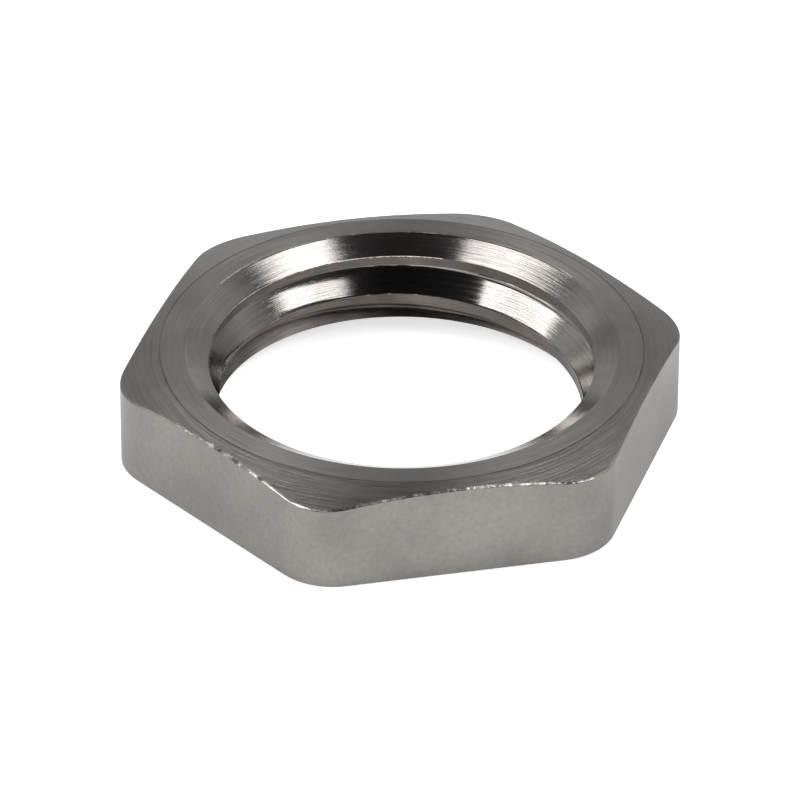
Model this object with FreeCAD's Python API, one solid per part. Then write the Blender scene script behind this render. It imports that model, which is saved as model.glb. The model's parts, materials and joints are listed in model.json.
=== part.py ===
import FreeCAD, Part
import math
import os

# Thin hexagon locknut for a cable gland or sensor body, turned from hexagon brass bar.
# All sizes are in millimetres. The nut lies on its flat face at Z = 0, its thread axis is Z,
# and one corner of the hexagon points along +X.

# Thread: outside diameter, and the depth of its groove
thread_diameter = 12.0
thread_depth = 0.65

# Lead-in at each end of the thread: a cone that starts at the thread's inside
lead_in_width = 1.05
lead_in_angle = 120.0

# Hexagon: the wall left between a lead-in's mouth and the middle of a flat makes it 15 mm
# across flats
wall_at_flats = 1.1
corner_radius = 1.9
thickness = 3.0

# Turned face: a shallow outside cone takes the corners down and just reaches the flats
flat_to_face_circle = 0.4
chamfer_angle = 17.3

# Sizes that follow from the ones above
bore_radius = thread_diameter / 2 - thread_depth
mouth_radius = bore_radius + lead_in_width
lead_in_depth = lead_in_width / math.tan(math.radians(lead_in_angle / 2))
flat_distance = mouth_radius + wall_at_flats
corner_distance = flat_distance / math.cos(math.pi / 6)
face_radius = flat_distance - flat_to_face_circle
chamfer_drop = (corner_distance - face_radius) * math.tan(math.radians(chamfer_angle))


def hexagon_bar(length):
    """A length of hexagon bar with rounded corners, standing on Z = 0."""
    corners = []
    for step in range(7):
        angle = step * math.pi / 3
        x = corner_distance * math.cos(angle)
        y = corner_distance * math.sin(angle)
        corners.append(FreeCAD.Vector(x, y, 0))
    outline = Part.Face(Part.makePolygon(corners))
    bar = outline.extrude(FreeCAD.Vector(0, 0, length))
    upright_edges = [edge for edge in bar.Edges if edge.BoundBox.ZLength > length / 2]
    return bar.makeFillet(corner_radius, upright_edges)


def turned_ring():
    """The ring that turning leaves from round bar: its lead-ins, bore, face and outside cone."""
    section = [
        FreeCAD.Vector(mouth_radius, 0, 0),
        FreeCAD.Vector(corner_distance, 0, 0),
        FreeCAD.Vector(corner_distance, 0, thickness - chamfer_drop),
        FreeCAD.Vector(face_radius, 0, thickness),
        FreeCAD.Vector(mouth_radius, 0, thickness),
        FreeCAD.Vector(bore_radius, 0, thickness - lead_in_depth),
        FreeCAD.Vector(bore_radius, 0, lead_in_depth),
    ]
    face = Part.Face(Part.makePolygon(section + section[:1]))
    return face.revolve(FreeCAD.Vector(0, 0, 0), FreeCAD.Vector(0, 0, 1), 360)


def locknut():
    """What the hexagon bar and the turned ring have in common."""
    return hexagon_bar(thickness).common(turned_ring()).Solids[0]


os.makedirs("parts", exist_ok=True)
locknut().exportStep("parts/locknut.step")
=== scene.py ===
import bpy
import bmesh
import json
import numpy as np
from mathutils import Matrix, Vector


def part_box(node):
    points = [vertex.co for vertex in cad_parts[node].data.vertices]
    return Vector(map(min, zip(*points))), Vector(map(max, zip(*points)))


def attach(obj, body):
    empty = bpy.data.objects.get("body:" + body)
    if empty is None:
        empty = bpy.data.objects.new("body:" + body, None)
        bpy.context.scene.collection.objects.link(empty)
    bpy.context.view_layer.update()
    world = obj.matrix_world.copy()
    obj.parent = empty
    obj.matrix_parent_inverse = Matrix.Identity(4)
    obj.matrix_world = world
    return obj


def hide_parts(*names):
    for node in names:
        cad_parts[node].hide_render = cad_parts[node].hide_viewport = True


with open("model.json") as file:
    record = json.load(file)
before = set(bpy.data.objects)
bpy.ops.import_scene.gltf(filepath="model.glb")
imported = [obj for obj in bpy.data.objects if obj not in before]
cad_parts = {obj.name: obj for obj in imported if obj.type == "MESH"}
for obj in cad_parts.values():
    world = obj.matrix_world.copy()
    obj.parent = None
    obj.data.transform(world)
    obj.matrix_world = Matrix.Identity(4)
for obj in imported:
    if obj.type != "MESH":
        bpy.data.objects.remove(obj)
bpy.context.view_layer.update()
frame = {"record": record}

# Locknut, outside form
# A slice of cold drawn hexagon brass bar. Its upper face is turned with a shallow cone that
# takes the corners down in six scallops and throws up a fine ragged burr where the tool
# leaves each flat.

mm = 0.001
columns = 1200
high_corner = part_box("locknut")[1]
thickness = high_corner.z
flat_distance = high_corner.y
flat_to_face_circle = 0.4 * mm
chamfer_slope = np.tan(np.radians(17.3))
edge_break = 0.03 * mm
half_break = 0.02 * mm
face_radius = flat_distance - flat_to_face_circle

# Whole turn in columns. The last column lies on the first, where the thread closes.
turn = np.linspace(0, 2 * np.pi, columns + 1)


def ragged(slowest, fastest, seed):
    """Roughness of a cut edge round the nut, about -1 to 1: a sum of cosines of the turn, one
    for each whole frequency from slowest to fastest, with seeded phases and weights."""
    draw = np.random.default_rng(seed)
    count = np.arange(slowest, fastest)
    weight = draw.normal(size=count.size) / np.sqrt(count.size / 2)
    phase = draw.uniform(0, 2 * np.pi, count.size)
    return (weight * np.cos(turn[:, None] * count + phase)).sum(1)


def hexagon_outline():
    """Distance from the axis to the side of the bar at each turn: the flat's line, or near a
    corner the circle that rounds it, whose radius follows from the box across the corners."""
    stretch = 1 / np.cos(np.pi / 6)
    corner_radius = (flat_distance * stretch - high_corner.x) / (stretch - 1)
    centre = (flat_distance - corner_radius) * stretch
    from_corner = np.abs(np.mod(turn + np.pi / 6, np.pi / 3) - np.pi / 6)
    flat = flat_distance / np.cos(np.pi / 6 - from_corner)
    under_root = np.maximum(corner_radius**2 - (centre * np.sin(from_corner)) ** 2, 0)
    arc = centre * np.cos(from_corner) + np.sqrt(under_root)
    tangent = np.arctan2(corner_radius / 2, centre + corner_radius / stretch)
    return np.where(from_corner < tangent, arc, flat)


side = hexagon_outline()
scallop = thickness - (side - face_radius) * chamfer_slope

# Edge between the flats and the cone: a small rounding. A burr stands on it round one corner
# and along the flat after it, and is mostly worn off elsewhere.
edge_radius = 0.045 * mm
burr_middle = np.radians(254)
burr_reach = np.radians(44)
worn_share = 0.12
from_burr = np.abs(np.mod(turn - burr_middle + np.pi, 2 * np.pi) - np.pi)
burr_left = worn_share + (1 - worn_share) / (1 + (from_burr / burr_reach) ** 12)
burr_patches = burr_left * np.clip(0.6 + 0.5 * ragged(3, 14, 11), 0, 1)
burr_out = 0.012 * mm * burr_patches * np.abs(ragged(90, 420, 12))
burr_back = (1 + 0.4 * burr_left + 0.8 * burr_patches * np.abs(ragged(40, 260, 14))) * edge_radius
burr_lift = 0.12 * edge_radius * burr_patches * ragged(90, 420, 15)


def blend(first, last, share):
    """The row of points that lies the given share of the way from one row to another."""
    return tuple(a + (b - a) * share for a, b in zip(first, last))


def cone_row(radius):
    """A row of the outside cone at the given distance from the axis."""
    return radius, thickness - (radius - face_radius) * chamfer_slope


level = np.ones_like(turn)
record = frame["record"]
thread_mount = [mount for mount in record["mounts"] if mount["name"] == "thread"][0]
bore_radius = thread_mount["dims"]["r_mm"] * mm
lead_in_depth = (thickness - thread_mount["dims"]["length_mm"] * mm) / 2
lead_in_angle = np.radians(120)
lead_in_slope = np.tan(lead_in_angle / 2)
mouth_radius = bore_radius + lead_in_depth * lead_in_slope

# The mouth's edge is broken a little and slightly frayed in patches
fray = ragged(120, 420, 21)
fray_patches = np.clip(0.5 + 0.4 * ragged(4, 20, 22), 0, 1)
mouth_fray = (0.004 + 0.006 * fray * fray_patches) * mm
mouth_break = 0.015 * mm
rim_fall = 0.006 * mm


def held(first, last, hold):
    """Rows from one edge to the next, with a row in the middle and one the given distance
    inside each edge, which keep the shading of the surface between them flat."""
    span = np.hypot(last[0] - first[0], last[1] - first[1])
    share = np.minimum(hold / np.maximum(span, hold), 0.3)
    inner = [blend(first, last, place) for place in (share, 0.5, 1 - share)]
    return [first] + inner + [last]


hold = 0.05 * mm
underside = held((level * mouth_radius, level * 0), (side - edge_break, level * 0), hold)
wall = held((side, level * edge_break), (side, scallop - edge_radius), hold)
burr = [(side + burr_out - 0.05 * edge_radius, scallop - 0.5 * edge_radius + burr_lift)]
burr += [(side + burr_out - 0.28 * edge_radius, scallop - 0.16 * edge_radius + burr_lift)]
chamfer = held(cone_row(side - burr_back), cone_row(level * (face_radius + half_break)), hold)
face_start = (level * (face_radius - half_break), level * thickness)
face_end = (level * (mouth_radius + mouth_break) + mouth_fray, level * thickness)
face = held(face_start, face_end, hold)

# Locknut, lead-ins and thread
# The hole is bored, countersunk at both ends and tapped. The thread is right-handed, with
# flat crests left by the drill and narrow roots, and it runs out into the cones.

pitch = 1.5 * mm
groove_depth = 0.54 * mm
crest_width = 0.36 * mm
root_width = 0.075 * mm
facing_up = groove_depth * np.tan(np.radians(51))
facing_down = pitch - crest_width - root_width - facing_up
half_crest = crest_width / 2
crest_height_at_x = 0.955 * mm
corner_break = 0.014 * mm
# Above the thread a level groove was turned, and over it a lip is left under the lead-in
relief_foot = 1.457 * mm
lip_foot = 2.26 * mm
lip_radius = bore_radius + 0.33 * mm


def thread_radius(turn_angle, height):
    """Distance from the axis to the thread: flat along the crest, then a straight rise over one
    flank to the root and a straight fall over the other, the lower of the two at any height.
    It repeats with the pitch, and one turn lifts it by one pitch. The turned groove has the
    same rise from its foot, and takes the thread away where it is the deeper of the two."""
    above = np.mod(height - crest_height_at_x - pitch * turn_angle / (2 * np.pi), pitch)
    rise = (above - half_crest) / facing_up
    fall = (pitch - half_crest - above) / facing_down
    relief = (height - relief_foot) / facing_up
    depth = np.clip(np.maximum(np.minimum(rise, fall), relief), 0, 1)
    return np.where(height < lip_foot, bore_radius + groove_depth * depth, lip_radius)


def upper_cone(height):
    """Distance from the axis to the upper lead-in cone at a height."""
    return mouth_radius - (thickness - height) * lead_in_slope


def lower_cone(height):
    """Distance from the axis to the lower lead-in cone at a height."""
    return mouth_radius - height * lead_in_slope


def first_meeting(heights, cone):
    """Height where a lead-in first reaches the thread, going inwards along the given heights:
    the first change of sign of thread minus cone, placed by straight interpolation."""
    gap = thread_radius(turn[:, None], heights[None, :]) - cone(heights)[None, :]
    after = np.argmax(gap >= 0, axis=1)
    pick = np.arange(turn.size)
    before = np.maximum(after - 1, 0)
    g0, g1 = gap[pick, before], gap[pick, after]
    share = np.where(after > 0, -g0 / np.where(g1 - g0 == 0, 1, g1 - g0), 0)
    return heights[before] + (heights[after] - heights[before]) * share


inset = 0.02 * mm
depths = np.linspace(inset, lead_in_depth + 0.01 * mm, 1500)
thread_top = first_meeting(thickness - depths, upper_cone)
thread_foot = first_meeting(depths, lower_cone)

rim = [(level * mouth_radius + mouth_fray, level * (thickness - rim_fall))]
fine_hold = 0.03 * mm
cone_start = (level * upper_cone(thickness - inset / 2), level * (thickness - inset / 2))
lead_in = held(cone_start, (upper_cone(thread_top), thread_top), fine_hold)
# The lip's upper edge is slightly torn, and its lower edge is broken
lip_tear = 0.022 * mm
lip_break = 0.02 * mm
lip_edge = thread_top - lip_tear * (1 + 0.4 * np.clip(ragged(80, 380, 23), -1.5, 1.5))
lip_end = (level * lip_radius, level * (lip_foot + lip_break))
lip = held((level * lip_radius, lip_edge), lip_end, fine_hold)
under_lip = [(level * (lip_radius + 1.5 * lip_break), level * lip_foot)]
groove_top = lip_foot - 2.5 * lip_break

# Heights of one pitch's rows above the middle of a crest: two rows on each side of each corner
# of the form, and one in the middle of each flank
corners = np.cumsum([half_crest, facing_up, root_width, facing_down])
around_corner = corner_break * np.array([-3, -1, 1, 3])
root_rows = corners[1] + root_width * np.array([0.2, 0.8])
form = np.concatenate([
    [0.0],
    corners[0] + around_corner,
    [corners[:2].mean()],
    corners[1] + around_corner[:2],
    root_rows,
    corners[2] + around_corner[2:],
    [corners[2:].mean()],
    corners[3] + around_corner,
])
turns_down = np.arange(2, -4, -1)
offsets = (turns_down[:, None] * pitch + form[None, :]).ravel()
helix = crest_height_at_x + pitch * turn / (2 * np.pi)
relief_top = relief_foot + facing_up
relief_middle = (relief_foot + relief_top) / 2
relief_rows = np.array([relief_foot, relief_foot, relief_middle, relief_top, relief_top])
relief_rows += corner_break * np.array([-1, 1, 0, -1, 1])
# The turned groove cuts into the underside of a crest and leaves a ridge, which climbs with the
# thread at the height where both flanks are equally deep
under_crest = helix + pitch * np.array([[-1], [0], [1]]) - half_crest
ridges = (facing_up * under_crest + facing_down * relief_foot) / (facing_up + facing_down)
# Rows that climb with the thread and level rows at the turned groove's corners, sorted from the
# top down at each column, so that they never cross
heights = np.concatenate([helix + offsets[:, None], level * relief_rows[:, None], ridges])
heights = -np.sort(-np.clip(heights, thread_foot, groove_top), axis=0)
radii = np.maximum(thread_radius(turn, heights), lower_cone(heights))
thread = list(zip(radii, heights))
on_crest = radii < bore_radius + 0.001 * mm
# The groove under the crest is dull, and its darker grey is painted shade in the recess. The
# dull part's top climbs with the crest to the turned groove's foot, and over the last third of
# the turn comes back down to where it began
back_down = crest_height_at_x + 3 * (relief_foot - crest_height_at_x) * (1 - turn / (2 * np.pi))
below_crest = heights < np.minimum(np.minimum(helix, relief_foot), back_down)
dull_and_shaded = below_crest | on_crest & np.roll(on_crest, -1, axis=0)
lower_lead_in = held((lower_cone(thread_foot), thread_foot), underside[0], fine_hold)[:-1]

# Each face has the number of its finish in the list of finishes below
# The worn finish's darker grey is partly dull metal and partly painted shade in the bore
drawn, faced, cut, worn_and_shaded, coned, torn_and_glint = range(6)


def torn_near(middle, reach, otherwise):
    """Finish along a row whose edge is torn within a reach of the given turn, in degrees. The torn
    finish is drawn pale, partly as torn metal and partly as a painted glint.
    """
    return np.where(np.abs(np.degrees(turn[:-1]) - middle) < reach, torn_and_glint, otherwise)


burr_finish = np.where(burr_left[:-1] > 0.5, torn_and_glint, coned)
rim_finish = torn_near(middle=80, reach=55, otherwise=cut)
lip_edge_finish = torn_near(middle=115, reach=50, otherwise=worn_and_shaded)
thread_finish = np.where(dull_and_shaded, worn_and_shaded, cut)[:, :-1]
# The section goes once round: underside, wall, cone, face, lead-in, lip, thread and lead-in
sections = [(underside, faced), (wall, drawn), (burr, burr_finish)]
sections += [(chamfer[:-1], coned), (chamfer[-1:], worn_and_shaded), (face, faced), (rim, rim_finish)]
sections += [(lead_in[:-1], cut), (lead_in[-1:], lip_edge_finish), (lip, worn_and_shaded), (under_lip, worn_and_shaded)]
rows = [row for section, _ in sections for row in section] + thread + lower_lead_in
finish_rows = [np.broadcast_to(finish, columns) for section, finish in sections for _ in section]
finish_rows += list(thread_finish) + [np.full(columns, cut)] * len(lower_lead_in)


merge_distance = 0.0015 * mm
sharp_angle = np.radians(24)


def closed_ring(name, rows, finish_rows):
    """Mesh of a ring: each row of distances and heights is carried round the axis, and each row
    is joined to the next, the last to the first. Points that meet are merged."""
    radius = np.array([row[0] for row in rows])
    height = np.array([row[1] for row in rows])
    points = np.stack([radius * np.cos(turn), radius * np.sin(turn), height], axis=-1)
    count = len(rows)
    stride = columns + 1
    row, column = np.meshgrid(np.arange(count), np.arange(columns), indexing="ij")
    here = row * stride + column
    after = (row + 1) % count * stride + column
    quads = np.stack([here, here + 1, after + 1, after], axis=-1)
    mesh = bpy.data.meshes.new(name)
    mesh.from_pydata(points.reshape(-1, 3), [], quads.reshape(-1, 4))
    mesh.polygons.foreach_set("material_index", np.array(finish_rows, np.int32).ravel())
    form = bmesh.new()
    form.from_mesh(mesh)
    bmesh.ops.remove_doubles(form, verts=form.verts, dist=merge_distance)
    bmesh.ops.recalc_face_normals(form, faces=form.faces)
    form.to_mesh(mesh)
    form.free()
    mesh.polygons.foreach_set("use_smooth", np.ones(len(mesh.polygons), bool))
    mesh.set_sharp_from_angle(angle=sharp_angle)
    return mesh


nut_mesh = closed_ring("locknut_turned", rows, finish_rows)
nut = bpy.data.objects.new("locknut_turned", nut_mesh)
bpy.context.scene.collection.objects.link(nut)

# Nickel plating
# Bright nickel a few microns thick over the brass. It keeps the marks under it: satin drawn
# flats, rings from the facing tool, and fine circular streaks in the lead-ins and thread.

nickel_colour = (0.31, 0.294, 0.281, 1.0)
# The dull grey is partly dull drilled metal and partly painted shade in the bore's recesses
dull_and_shade_colour = (0.16, 0.145, 0.135, 1.0)
# The outside cone is the same plating as the top face, and its darker grey is painted shade
cone_shade_colour = (0.245, 0.232, 0.222, 1.0)
# The burr and torn edges are drawn pale, partly as freshly torn metal and partly as a painted
# glint
burr_and_glint_colour = (0.75, 0.72, 0.68, 1.0)


def link(tree, source, target):
    """Joins one socket to another."""
    tree.links.new(source, target)


def arithmetic(tree, operation, first, second=None):
    """The result of one operation on one or two sockets or numbers."""
    node = tree.nodes.new("ShaderNodeMath")
    node.operation = operation
    for socket, value in zip(node.inputs, (first, second)):
        if value is None:
            continue
        if isinstance(value, (int, float)):
            socket.default_value = value
        else:
            link(tree, value, socket)
    return node.outputs[0]


def ring_marks(tree, along, across):
    """Noise that runs round the axis: it changes slowly along the turn, on the unit circle of
    x and y over the distance from the axis, and quickly across, with distance plus height."""
    place = tree.nodes.new("ShaderNodeTexCoord").outputs["Object"]
    split = tree.nodes.new("ShaderNodeSeparateXYZ")
    link(tree, place, split.inputs[0])
    x, y, z = split.outputs
    squares = [arithmetic(tree, "MULTIPLY", part, part) for part in (x, y)]
    distance = arithmetic(tree, "SQRT", arithmetic(tree, "ADD", *squares))
    join = tree.nodes.new("ShaderNodeCombineXYZ")
    for part, socket in zip((x, y), join.inputs):
        on_circle = arithmetic(tree, "DIVIDE", part, distance)
        link(tree, arithmetic(tree, "MULTIPLY", on_circle, along), socket)
    lift = arithmetic(tree, "ADD", distance, arithmetic(tree, "MULTIPLY", z, 1.3))
    link(tree, arithmetic(tree, "MULTIPLY", lift, across), join.inputs[2])
    noise = tree.nodes.new("ShaderNodeTexNoise")
    noise.inputs["Scale"].default_value = 1.0
    noise.inputs["Detail"].default_value = 5.0
    noise.inputs["Roughness"].default_value = 0.6
    link(tree, join.outputs[0], noise.inputs["Vector"])
    return noise.outputs["Fac"]


def grain(tree, scale, detail):
    """Even noise in the nut's own coordinates."""
    place = tree.nodes.new("ShaderNodeTexCoord").outputs["Object"]
    noise = tree.nodes.new("ShaderNodeTexNoise")
    noise.inputs["Scale"].default_value = scale
    noise.inputs["Detail"].default_value = detail
    link(tree, place, noise.inputs["Vector"])
    return noise.outputs["Fac"]


def ranged(tree, value, low, high):
    """A noise value spread from low to high."""
    node = tree.nodes.new("ShaderNodeMapRange")
    node.inputs["From Min"].default_value = 0.3
    node.inputs["From Max"].default_value = 0.7
    node.inputs["To Min"].default_value = low
    node.inputs["To Max"].default_value = high
    link(tree, value, node.inputs["Value"])
    return node.outputs["Result"]


def nickel(name, roughness, marks, mark_height, shade, colour, ring_share):
    """One finish of the plating: its roughness range, its marks as a small height, how far its
    grey varies from patch to patch and mark to mark, and how much more its rings spread light
    outwards from the axis than along themselves."""
    material = bpy.data.materials.new(name)
    material.use_nodes = True
    tree = material.node_tree
    shader = tree.nodes["Principled BSDF"]
    shader.inputs["Metallic"].default_value = 1.0
    tint = tree.nodes.new("ShaderNodeMix")
    tint.data_type = "RGBA"
    tint.blend_type = "MULTIPLY"
    tint.inputs["Factor"].default_value = 1.0
    tint.inputs["A"].default_value = colour
    pattern = marks(tree)
    patches = ranged(tree, grain(tree, 420.0, 4.0), 1.0 - shade, 1.0 + shade)
    streaks = ranged(tree, pattern, 1.0 - 0.8 * shade, 1.0 + 0.8 * shade)
    link(tree, arithmetic(tree, "MULTIPLY", patches, streaks), tint.inputs["B"])
    link(tree, tint.outputs["Result"], shader.inputs["Base Color"])
    link(tree, ranged(tree, pattern, *roughness), shader.inputs["Roughness"])
    bump = tree.nodes.new("ShaderNodeBump")
    bump.inputs["Distance"].default_value = mark_height
    link(tree, pattern, bump.inputs["Height"])
    link(tree, bump.outputs["Normal"], shader.inputs["Normal"])
    if ring_share:
        outwards = tree.nodes.new("ShaderNodeVectorMath")
        outwards.operation = "MULTIPLY"
        outwards.inputs[1].default_value = (1.0, 1.0, 0.0)
        link(tree, tree.nodes.new("ShaderNodeTexCoord").outputs["Object"], outwards.inputs[0])
        link(tree, outwards.outputs[0], shader.inputs["Tangent"])
        shader.inputs["Anisotropic"].default_value = ring_share
    return material


def satin(tree):
    """Even fine grain of the drawn flats."""
    return grain(tree, 7000.0, 5.0)


def facing_rings(tree):
    """Rings that the facing tool left."""
    return ring_marks(tree, 3.0, 14000.0)


def cone_rings(tree):
    """Closer rings on the outside cone."""
    return ring_marks(tree, 3.5, 20000.0)


def cutting_streaks(tree):
    """Fine streaks in the lead-ins and thread."""
    return ring_marks(tree, 3.0, 18000.0)


def drill_streaks(tree):
    """Short rough streaks on the crests."""
    return ring_marks(tree, 6.0, 24000.0)


def torn_grain(tree):
    """Grain of torn metal."""
    return grain(tree, 2600.0, 4.0)


# For each finish, in the order of its number: its roughness range, marks, their height, its
# shade and colour, and how much more its rings spread light outwards
finishes = {
    "nickel_on_drawn_flats": ((0.30, 0.44), satin, 0.009 * mm, 0.12, nickel_colour, 0.0),
    "nickel_on_turned_faces": ((0.28, 0.44), facing_rings, 0.016 * mm, 0.12, nickel_colour, 0.8),
    "nickel_on_cut_thread": ((0.06, 0.16), cutting_streaks, 0.0022 * mm, 0.20, nickel_colour, 0.0),
    # Crests, the groove under them, the lip and the top face's edge line: dull metal with painted
    # shade
    "nickel_dull_with_painted_shade": ((0.28, 0.45), drill_streaks, 0.010 * mm, 0.40, dull_and_shade_colour, 0.0),
    # Painted shade: the outside cone is drawn darker than the same plating on the top face
    "nickel_on_outside_cone": ((0.28, 0.40), cone_rings, 0.014 * mm, 0.12, cone_shade_colour, 0.3),
    # Painted glint: the burr and torn edges are pale, partly torn metal and partly a highlight
    "nickel_torn_with_painted_glint": ((0.12, 0.35), torn_grain, 0.004 * mm, 0.60, burr_and_glint_colour, 0.0),
}
for name, values in finishes.items():
    nut_mesh.materials.append(nickel(name, *values))
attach(nut, "root")
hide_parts("locknut")

# Table
# A plain white table top, matt, which shows white and keeps the nut's soft shadow.

floor_half = 1.6
floor_depth = 0.01 * mm


def mixed(tree, share, first, second):
    """One shader where the share is 0, the other where it is 1."""
    node = tree.nodes.new("ShaderNodeMixShader")
    for socket, value in zip(node.inputs, (share, first, second)):
        link(tree, value, socket)
    return node.outputs[0]


floor_mesh = bpy.data.meshes.new("table_top")
floor_corners = np.array([[-1, -1, 0], [1, -1, 0], [1, 1, 0], [-1, 1, 0]]) * floor_half
floor_mesh.from_pydata(floor_corners - [0, 0, floor_depth], [], [[0, 1, 2, 3]])
floor = bpy.data.objects.new("table_top", floor_mesh)
bpy.context.scene.collection.objects.link(floor)
floor_material = bpy.data.materials.new("white_table")
floor_material.use_nodes = True
tree = floor_material.node_tree
tree.nodes.clear()
matt = tree.nodes.new("ShaderNodeBsdfDiffuse")
matt.inputs["Color"].default_value = (0.8, 0.8, 0.8, 1.0)
glow = tree.nodes.new("ShaderNodeEmission")
rays = tree.nodes.new("ShaderNodeLightPath")
glossy, through = rays.outputs["Is Glossy Ray"], rays.outputs["Is Transmission Ray"]
in_metal = arithmetic(tree, "MAXIMUM", glossy, through)
seen = arithmetic(tree, "MAXIMUM", rays.outputs["Is Camera Ray"], in_metal)
glow_to_the_eye = arithmetic(tree, "MULTIPLY", rays.outputs["Is Camera Ray"], 0.68)
glow_in_metal = arithmetic(tree, "MULTIPLY", in_metal, 0.25)
link(tree, arithmetic(tree, "ADD", glow_to_the_eye, glow_in_metal), glow.inputs["Strength"])
both = tree.nodes.new("ShaderNodeAddShader")
link(tree, matt.outputs[0], both.inputs[0])
link(tree, glow.outputs[0], both.inputs[1])
output = tree.nodes.new("ShaderNodeOutputMaterial")
link(tree, mixed(tree, seen, matt.outputs[0], both.outputs[0]), output.inputs[0])
floor_mesh.materials.append(floor_material)

# Room and lamps
# A pale room, which is darkest overhead and a little towards the camera, and two soft boxes
# overhead, one on each side.

camera_turn = np.radians(12.457)
camera_rise = np.radians(33.182)

world = bpy.data.worlds.new("pale_room")
bpy.context.scene.world = world
world.use_nodes = True
tree = world.node_tree
place = tree.nodes.new("ShaderNodeTexCoord").outputs["Generated"]
ramp = tree.nodes.new("ShaderNodeValToRGB")
# Grey of the room by how far a direction points along the dark axis, which leans from straight
# up towards the camera; a cosine from -1 to 1 is spread over 0 to 1
dark_lean = np.radians(35)
towards_camera = Vector((-np.sin(camera_turn), -np.cos(camera_turn), 0.0))
dark_axis = towards_camera * np.sin(dark_lean) + Vector((0.0, 0.0, np.cos(dark_lean)))
room_levels = [(0.20, 0.58), (0.47, 0.40), (0.56, 0.62), (0.64, 0.48)]
room_levels += [(0.75, 0.16), (0.88, 0.05), (1.0, 0.01)]
while len(ramp.color_ramp.elements) < len(room_levels):
    ramp.color_ramp.elements.new(1.0)
for element, (place_on_ramp, grey) in zip(ramp.color_ramp.elements, room_levels):
    element.position = place_on_ramp
    element.color = (grey, grey, grey, 1.0)
along_axis = tree.nodes.new("ShaderNodeVectorMath")
along_axis.operation = "DOT_PRODUCT"
along_axis.inputs[1].default_value = dark_axis
link(tree, place, along_axis.inputs[0])
half_cosine = arithmetic(tree, "MULTIPLY", along_axis.outputs["Value"], 0.5)
link(tree, arithmetic(tree, "ADD", half_cosine, 0.5), ramp.inputs[0])
rays = tree.nodes.new("ShaderNodeLightPath")
room = tree.nodes["Background"]
white = tree.nodes.new("ShaderNodeBackground")
white.inputs["Color"].default_value = (1.0, 1.0, 1.0, 1.0)
link(tree, ramp.outputs["Color"], room.inputs["Color"])
as_seen = mixed(tree, rays.outputs["Is Camera Ray"], room.outputs[0], white.outputs[0])
link(tree, as_seen, tree.nodes["World Output"].inputs[0])

lamp_height = 0.5
# For each lamp: its middle as shares of its height, to the right and to the back as the
# camera sees it, then its width and length as shares too, its turn, and its radiance
lamps = {
    "left_soft_box": ((-1.20, 0.06), (1.52, 1.15), -38.0, 4.5),
    "right_soft_box": ((0.95, -0.16), (1.05, 1.15), 22.0, 3.7),
}
room_turn = Matrix.Rotation(-camera_turn, 3, "Z")
for name, (middle, size, lamp_turn, radiance) in lamps.items():
    lamp = bpy.data.lights.new(name, "AREA")
    lamp.shape = "RECTANGLE"
    lamp.size, lamp.size_y = size[0] * lamp_height, size[1] * lamp_height
    lamp.energy = radiance * np.pi * lamp.size * lamp.size_y
    holder = bpy.data.objects.new(name, lamp)
    bpy.context.scene.collection.objects.link(holder)
    holder.location = room_turn @ (Vector((middle[0], middle[1], 1.0)) * lamp_height)
    holder.rotation_euler = (0, 0, np.radians(lamp_turn) - camera_turn)

# Camera
# A long lens above and in front of the nut, almost level in roll.

camera_distance = 13.754 * 2 * flat_distance
camera_roll = np.radians(0.386)
camera = bpy.data.cameras.new("camera")
camera.sensor_width = 36.0
camera.lens = 315.41
camera.shift_x = -0.0017
camera.shift_y = -0.0129
camera.clip_start, camera.clip_end = 0.01, 10.0
back = towards_camera * np.cos(camera_rise) + Vector((0.0, 0.0, np.sin(camera_rise)))
level_right = Vector((np.cos(camera_turn), -np.sin(camera_turn), 0.0))
level_up = back.cross(level_right)
right = level_right * np.cos(camera_roll) + level_up * np.sin(camera_roll)
up = level_up * np.cos(camera_roll) - level_right * np.sin(camera_roll)
viewer = bpy.data.objects.new("camera", camera)
bpy.context.scene.collection.objects.link(viewer)
facing = Matrix((right, up, back)).transposed().to_4x4()
middle_of_nut = Vector((0, 0, thickness / 2))
viewer.matrix_world = Matrix.Translation(middle_of_nut + back * camera_distance) @ facing
bpy.context.scene.camera = viewer

bpy.context.scene.view_settings.view_transform = "Standard"
